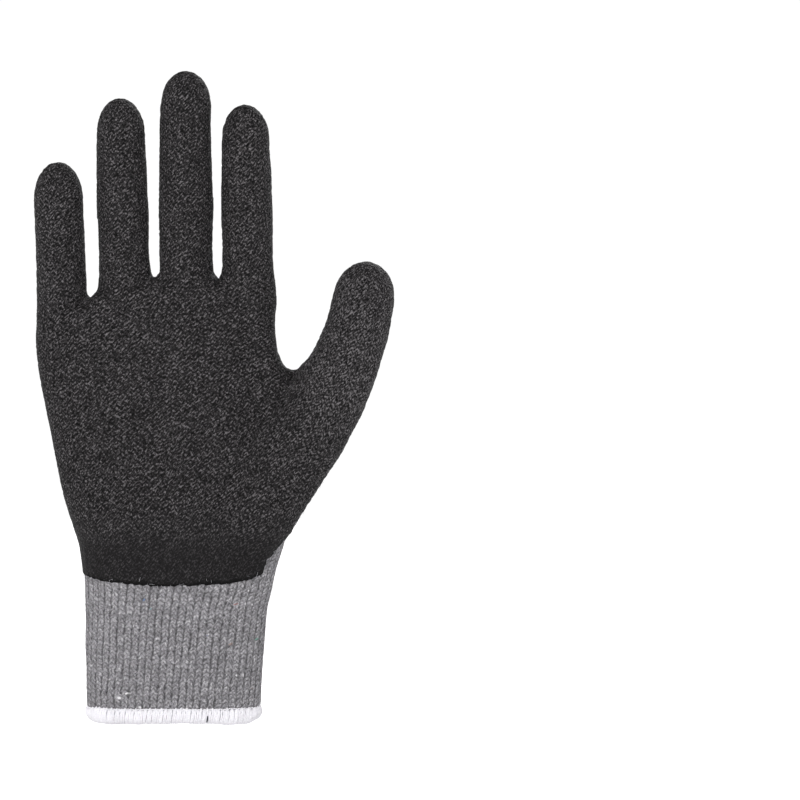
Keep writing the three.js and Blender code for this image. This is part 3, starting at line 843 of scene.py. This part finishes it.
# %% The latex layer
LATEX_THICK = 0.9
LATEX_SINK = 0.75
FOLD_HEIGHT = 0.2
DIGITS_FROM = 152  # the layer is two pieces, parted at this height
points, quads, normals, numbers = worn(latex_form)
wet = 1 - ramp(latex_dry, LATEX_EDGE - 0.5, LATEX_EDGE + 0.8)
towards_palm = 1 - 0.8 * ramp(normals[:, 1], -0.4, 0.3)
above_edge = ramp(points[:, 2], 64, 86)
crinkle = towards_palm * (0.12 + 0.88 * above_edge)
pale = ramp(points[:, 0], 44, 56) * ramp(points[:, 2], 100, 122)  # the latex is a little paler on the thumb
folds = 1 - 2.2 * np.abs(grain(points, 1.6, 4) + 0.35 * grain(points, 0.9, 5))
lift = LATEX_THICK * wet - LATEX_SINK * (1 - wet)
lift = lift + FOLD_HEIGHT * crinkle * folds * wet
lift = lift + (1 - above_edge) * 0.3 * knit_relief(numbers, points)
latex_points = points + normals * lift[:, None]
# how near the edge of the latex each point lies, for the painted shade there
beyond = (latex_dry > LATEX_EDGE - 0.1).astype(float)[:, None]
rim = np.clip(3 * relaxed(beyond, quads, 10, swell=0)[:, 0], 0, 1)
wetted = latex_dry[quads].min(axis=1) < LATEX_EDGE + 0.9
on_digits = points[quads][:, :, 2].min(axis=1) > DIGITS_FROM
crinkled_latex = latex_material()
latex_pieces = []
for name, part in (("latex_on_hand", ~on_digits), ("latex_on_digits", on_digits)):
    used, coat = only(points, quads, wetted & part)
    piece = object_of(name, latex_points[used], coat)
    add_knit_map(piece, numbers, used)
    add_shares(piece, "crinkle", crinkle[used])
    add_shares(piece, "rim", rim[used])
    add_shares(piece, "pale", pale[used])
    piece.data.materials.append(crinkled_latex)
    latex_pieces.append(piece)
    print(name, "triangles:", 2 * len(coat))

# %% [markdown]
# ## Threads
# Overlock threads and loose fibres are thin tubes along short paths. One function sweeps many of them into
# a single mesh.


# %% Threads
def tubes(name, paths, radii, sides=5):
    """Paths all have the same number of points. The radius may be one number or one for each path."""
    paths = np.asarray(paths, float)
    count, length, _ = paths.shape
    heading = np.gradient(paths, axis=1)
    heading /= np.maximum(np.linalg.norm(heading, axis=2, keepdims=True), 1e-9)
    guide = np.where(np.abs(heading[:, :, 2:3]) > 0.9, [[1.0, 0, 0]], [[0, 0, 1.0]])
    first = np.cross(heading, guide)
    first /= np.linalg.norm(first, axis=2, keepdims=True)
    for k in range(1, length):  # keep the section from turning over along the path
        carried = first[:, k - 1] - heading[:, k] * np.sum(first[:, k - 1] * heading[:, k], axis=1)[:, None]
        first[:, k] = carried / np.linalg.norm(carried, axis=1, keepdims=True)
    second = np.cross(heading, first)
    radii = np.broadcast_to(np.asarray(radii, float).reshape(-1, 1), (count, length))
    angles = np.arange(sides) * 2 * np.pi / sides
    ring = first[:, :, None] * np.cos(angles)[None, None, :, None]
    ring = ring + second[:, :, None] * np.sin(angles)[None, None, :, None]
    points = paths[:, :, None] + ring * radii[:, :, None, None]
    base = np.arange(count)[:, None, None] * length * sides
    row = np.arange(length - 1)[None, :, None] * sides
    side = np.arange(sides)[None, None, :]
    after = (side + 1) % sides
    here, onwards = base + row + side, base + row + after
    walls = np.stack([here, onwards, onwards + sides, here + sides], axis=-1).reshape(-1, 4)
    start = np.arange(count)[:, None] * length * sides + np.arange(sides)[None, ::-1]
    end = np.arange(count)[:, None] * length * sides + (length - 1) * sides + np.arange(sides)[None, :]
    return object_of(name, points.reshape(-1, 3), walls.tolist() + start.tolist() + end.tolist())


# %% [markdown]
# ## The path of the hem
# The cut edge of the cuff is bound by an overlock machine. Every thread of it follows the cuff's outline,
# so that outline is measured once, and places are then given along it, outwards from it and up.


# %% The path of the hem
def cuff_path(points, height, samples):
    """The cuff's outline at a height, as evenly spaced points with outward directions."""
    near = points[np.abs(points[:, 2] - height) < 0.8][:, :2]
    angle = np.arctan2(near[:, 1] / 19, near[:, 0] / 34)
    order = np.argsort(angle)
    angle, near = angle[order], near[order]
    spread = np.linspace(-np.pi, np.pi, 181)[:-1]
    wrapped = np.concatenate([angle - 2 * np.pi, angle, angle + 2 * np.pi])
    outline = np.stack([np.interp(spread, wrapped, np.tile(near[:, i], 3)) for i in (0, 1)], axis=1)
    for _ in range(6):
        outline = (np.roll(outline, 1, 0) + outline * 2 + np.roll(outline, -1, 0)) / 4
    ring = np.vstack([outline, outline[:1]])
    passed = np.concatenate([[0], np.cumsum(np.linalg.norm(np.diff(ring, axis=0), axis=1))])
    at = np.arange(samples) / samples * passed[-1]
    even = np.stack([np.interp(at, passed, ring[:, i]) for i in (0, 1)], axis=1)
    ahead = np.roll(even, -1, 0) - np.roll(even, 1, 0)
    ahead /= np.linalg.norm(ahead, axis=1, keepdims=True)
    return even, np.stack([ahead[:, 1], -ahead[:, 0]], axis=1), passed[-1]


EDGE_HEIGHT = 5.0  # where the outline is measured
edge_line, edge_out, edge_length = cuff_path(knit_form[0], EDGE_HEIGHT, 1200)
print("round the cuff:", round(edge_length), "mm")


def at_edge(along, out, height):
    """Points given by how far they lie along the edge, outwards from it and up."""
    place = np.mod(along, edge_length) / edge_length * len(edge_line)
    low = np.floor(place).astype(int)
    share = (place - low)[..., None]
    low, high = low % len(edge_line), (low + 1) % len(edge_line)
    line = edge_line[low] * (1 - share) + edge_line[high] * share
    push = edge_out[low] * (1 - share) + edge_out[high] * share
    line = line + push * np.asarray(out)[..., None]
    return np.concatenate([line, np.broadcast_to(height, line.shape[:-1])[..., None]], axis=-1)


# %% [markdown]
# ## The hem's wraps
# The machine's bulky white thread wraps over the edge again and again, side by side. Every second
# millimetre the needle pulls a wrap up into the knit, which gives the band its toothed upper edge and a
# row of small holes. Each wrap is one tube round the same profile, a little uneven.

# %% The hem's wraps
WRAP_PITCH = 0.7
WRAP_RADIUS = 0.4
TOOTH = 1.95  # one needle stitch
HOLES_UP = 4.35  # height of the row of needle holes
wraps = round(edge_length / WRAP_PITCH)
spots = np.arange(wraps) * edge_length / wraps + rng.normal(0, 0.05, wraps)
bend = np.linspace(0, 1, 21)
turns = [0, 0.08, 0.26, 0.34, 0.42, 0.5, 0.58, 0.66, 0.74, 0.82, 0.9, 0.95, 1]
outwards = [-2.5, -2.9, -2.9, -2.6, -2.0, -1.1, -0.3, 0.3, 0.72, 0.85, 0.72, 0.6, 0.1]
upwards = [5.2, 4.6, 1.9, 1.1, 0.6, 0.42, 0.75, 1.35, 2.1, 3.0, 4.1, 4.9, 5.6]
profile_out = np.interp(bend, turns, outwards)
profile_up = np.interp(bend, turns, upwards)
phase = np.mod(spots / TOOTH, 1)
rise = 0.8 * (np.abs(phase - 0.5) * 2) ** 2 + rng.normal(0, 0.12, wraps)
slant = 0.8 + rng.normal(0, 0.1, wraps)
along = spots[:, None] + slant[:, None] * (bend[None] - 0.5) * 2.4
# the needle pulls the wraps apart, so a row of small holes shows
parted = np.exp(-(((profile_up - HOLES_UP) / 0.35) ** 2)) * (bend > 0.5)
along = along + 0.36 * (1 - 2 * phase)[:, None] * parted[None]
sag = 0.16 * np.sin(along * 2 * np.pi / 37) + 0.1 * np.sin(along * 2 * np.pi / 11.3 + 1)
out = profile_out[None] + rng.normal(0, 0.05, (wraps, 1)) + 0.04 * rng.normal(size=(wraps, len(bend)))
up = profile_up[None] + rise[:, None] * np.clip(bend * 2 - 1, 0, 1)[None] ** 3 + sag


def rounded(path):
    """At its two narrow ends the band turns up a little, and it hangs lowest just before them."""
    sideways = np.abs(path[..., 0] - edge_line[:, 0].mean())
    low = 1 - ramp(path[..., 2], 1.5, 5)
    path[..., 2] += low * (1.5 * ramp(sideways, 28, 35) - 0.4 * np.exp(-(((sideways - 25) / 6) ** 2)))
    return path


thickness = WRAP_RADIUS + rng.normal(0, 0.03, wraps)
hem_wraps = tubes("hem_wraps", rounded(at_edge(along, out, up)), thickness)
print("wraps:", wraps)

# %% [markdown]
# ## Core and needle thread
# A soft core keeps the knit from showing between the wraps: one plain sheet, a little greyer, because it
# lies in their shade. The needle thread shows as short stitches along the top of the outside.

# %% Core and needle thread
NEEDLE_RADIUS = 0.2
core_steps = 260
core_along = np.arange(core_steps) / core_steps * edge_length
core_out = [-2.6, -2.65, -1.9, -1.0, 0.0, 0.45, 0.5, 0.2]
core_up = [4.9, 2.0, 0.95, 0.8, 1.4, 2.2, 4.4, 5.4]
core = [at_edge(core_along, np.full(core_steps, out), up) for out, up in zip(core_out, core_up)]
here = np.arange(len(core) * core_steps).reshape(len(core), core_steps)
onwards = np.roll(here, -1, axis=1)
quads = np.stack([here[:-1], onwards[:-1], onwards[1:], here[1:]], axis=-1)
hem_core = object_of("hem_core", rounded(np.stack(core)).reshape(-1, 3), quads.reshape(-1, 4))

stitches = int(edge_length / TOOTH)
starts = np.arange(stitches) * edge_length / stitches + TOOTH / 2
run = np.linspace(0, 1, 7)
needle_along = starts[:, None] + run[None] * TOOTH * 0.95
needle_up = 5.55 + 0.35 * np.sin(run * np.pi)[None] + rng.normal(0, 0.06, (stitches, 1))
needle_out = 0.3 + 0.42 * np.sin(run * np.pi)[None] + 0 * needle_along
needle = tubes("hem_needle_thread", at_edge(needle_along, needle_out, needle_up), NEEDLE_RADIUS)
print("needle stitches:", stitches)

# %% [markdown]
# ## Overlock thread
# Overlock seams are sewn with bulked polyester: its filaments are crimped, so the thread is fluffy, covers
# well and has no gloss. In the photo it is a cool white. A dark end of the cuff's yarn was caught under the
# wraps on the palm side.


# %% Overlock thread
def thread_material(name, dark, light):
    """Soft, fluffy thread without gloss, a little darker in its hollows by painted shade."""
    made, add = material(name)
    place = add("TexCoord", out="Object")
    fluff = add("TexNoise", {"Vector": place, "Scale": every(0.385), "Detail": 4.0, "Roughness": 0.7})
    slow = add("TexNoise", {"Vector": place, "Scale": every(3.85), "Detail": 2.0})
    # painted shade: the colour follows the bump's noise, darker in its hollows
    shade = add("ValToRGB", {0: fluff}, stops=[(0.3, dark), (0.6, light)])
    patches = add("ValToRGB", {0: slow}, stops=[(0.3, 0.94), (0.7, 1.0)])
    shade = add("Mix", {0: 1.0, 6: shade, 7: patches}, out=2, data_type="RGBA", blend_type="MULTIPLY")
    bump = add("Bump", {"Height": fluff, "Strength": 0.7, "Distance": 0.2 * MM})
    soft = {"Roughness": 0.9, "Specular IOR Level": 0.25, "Sheen Weight": 0.3}
    surface = add("BsdfPrincipled", {"Base Color": shade, "Normal": bump, **soft})
    add("OutputMaterial", {"Surface": surface})
    return made


YARN_END_X = 13.1
caught = int(np.argmin(np.abs(edge_line[:, 0] - YARN_END_X) + 100 * (edge_line[:, 1] > 0)))
caught_at = caught / len(edge_line) * edge_length + np.array([0, 0.1, 0.15, 0.25])
caught_path = at_edge(caught_at, [0.75, 1.2, 1.25, 0.95], [1.1, 1.6, 2.5, 3.2])
yarn_end = tubes("caught_yarn_end", [caught_path], 0.33, sides=6)

white_thread = thread_material("bulked_polyester_overlock_thread", 0xE3E1E9, 0xFDFBFF)
hollow_thread = thread_material("overlock_thread_in_shade", 0xA6A4AC, 0xC4C2CA)
dark_yarn = thread_material("dark_cotton_yarn", 0x2A2A30, 0x4A4A52)
for piece, thread in (
    (hem_wraps, white_thread),
    (needle, white_thread),
    (hem_core, hollow_thread),
    (yarn_end, dark_yarn),
):
    piece.data.materials.append(thread)

# %% [markdown]
# ## Loose fibres
# Short cotton fibres stand out of any spun yarn. They soften the outline and cross the edge of the latex.
# Each is a thin bent thread that leaves the surface at a random place.

# %% Loose fibres
points, quads, normals = knit_surface
FIBRES = 1500
EDGE_FIBRES = 500
FIBRE_RADIUS = 0.035  # a real one is 0.01, too thin to show
by_edge = np.flatnonzero(edge_gap < 0.5)
spots = np.concatenate(
    [rng.choice(len(points), FIBRES, replace=False), rng.choice(by_edge, EDGE_FIBRES, replace=False)]
)
count = len(spots)
sideways = np.cross(normals[spots], rng.normal(size=(count, 3)))
sideways /= np.linalg.norm(sideways, axis=1, keepdims=True)
other = np.cross(normals[spots], sideways)
reach = rng.uniform(0.8, 2.4, count)
height = rng.uniform(0.15, 0.7, count)
height[FIBRES:] = rng.uniform(0.7, 1.3, EDGE_FIBRES)  # these lie over the edge of the latex
curl = rng.normal(0, 0.5, count)
run = np.linspace(0, 1, 6)
paths = (
    points[spots][:, None]
    + sideways[:, None] * (reach[:, None] * run[None])[..., None]
    + other[:, None] * (curl[:, None] * run[None] ** 2)[..., None]
    + normals[spots][:, None] * (height[:, None] * np.sin(run * 2.4)[None] - 0.05)[..., None]
)
lint = tubes("loose_fibres", paths, FIBRE_RADIUS, sides=3)


def fibre_material():
    """Single hairs, some pale and some dark, that soften every outline."""
    made, add = material("loose_cotton_fibre")
    place = add("TexCoord", out="Object")
    tone = add("TexNoise", {"Vector": place, "Scale": every(3.33), "Detail": 1.0})
    shade = add("ValToRGB", {0: tone}, stops=[(0.35, 0x6E6F76), (0.6, 0xDADADF)])
    surface = add("BsdfPrincipled", {"Base Color": shade, "Roughness": 0.9})
    add("OutputMaterial", {"Surface": surface})
    return made


lint.data.materials.append(fibre_material())

# %% [markdown]
# ## Whose place each piece takes
# All pieces ride on the glove's one body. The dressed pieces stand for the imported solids, which stay for
# the physics. The glove's shell isn't a flat sheet or a cushion, so nothing is declared as either.

# %% Whose place each piece takes
stands_for = {
    "knit_liner": ("knit", [*knit_pieces, lining_knit, lint]),
    "latex_coating": ("latex", latex_pieces),
    "cuff_hem": ("hem_thread", [hem_wraps, hem_core, needle, yarn_end]),
}
for solid, (slot, pieces) in stands_for.items():
    for piece in pieces:
        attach(piece, "root")
        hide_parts(solid)

# %% [markdown]
# ## Floor and light
# A plain white studio. The paper floor lies a little below the held glove. Its far part and the surround
# are lit as brightly as the paper, so they merge, and only a low band round the horizon is bright: light
# from all sides would wash the black wrinkles out. Large soft lights stand high before and behind.

# %% Floor and light
FLOOR = -60.0
FLOOR_HALF = 6000.0
WHITE_FROM, WHITE_TO = 0.22, 0.42  # metres from the middle where the paper turns into plain white
BAND_FROM, BAND_TO = 0.085, 0.16  # how high, from level, the bright band round the horizon ends
BAND_LIGHT, SKY_LIGHT = 1.02, 0.32
LIGHT_SIZE = 0.6
GLOVE_MIDDLE = Vector((0.01, 0, 0.12))
corners = [(x * FLOOR_HALF, y * FLOOR_HALF, FLOOR) for x, y in ((-1, -1), (1, -1), (1, 1), (-1, 1))]
floor = object_of("floor", corners, [[0, 1, 2, 3]], smooth=False)
paper, add = material("white_paper")
place = add("TexCoord", out="Object")
away = add("VectorMath", {0: place}, out="Value", operation="LENGTH")
lit = add("MapRange", {0: away, 1: WHITE_FROM, 2: WHITE_TO, 3: 0.0, 4: 1.0})
glow = {"Emission Color": colour(0xFFFFFF), "Emission Strength": lit}
surface = add("BsdfPrincipled", {"Base Color": colour(0xF4F4F4), "Roughness": 0.9, **glow})
add("OutputMaterial", {"Surface": surface})
floor.data.materials.append(paper)

world = bpy.data.worlds.new("studio")
bpy.context.scene.world = world
world.use_nodes = True
tree = world.node_tree
heading = node(tree, "TexCoord", out="Generated")
rise = node(tree, "SeparateXYZ", {0: heading}, out="Z")
bright = node(tree, "MapRange", {0: rise, 1: BAND_FROM, 2: BAND_TO, 3: BAND_LIGHT, 4: SKY_LIGHT})
background = tree.nodes["Background"]
background.inputs[0].default_value = (1, 1, 1, 1)
tree.links.new(bright, background.inputs[1])
bpy.context.scene.view_settings.view_transform = "Standard"


def soft_light(name, place, watts):
    lamp = bpy.data.lights.new(name, "AREA")
    lamp.shape, lamp.size, lamp.energy = "DISK", LIGHT_SIZE, watts
    thing = bpy.data.objects.new(name, lamp)
    bpy.context.scene.collection.objects.link(thing)
    thing.location = place
    aim = GLOVE_MIDDLE - Vector(place)
    thing.rotation_euler = aim.to_track_quat("-Z", "Y").to_euler()


soft_light("front_light", (-0.35, -1.4, 1.15), 20)
soft_light("back_light", (0.6, 1.4, 1.1), 18)

# %% [markdown]
# ## The end
# The scene is brought up to date.

# %% The end
bpy.context.view_layer.update()
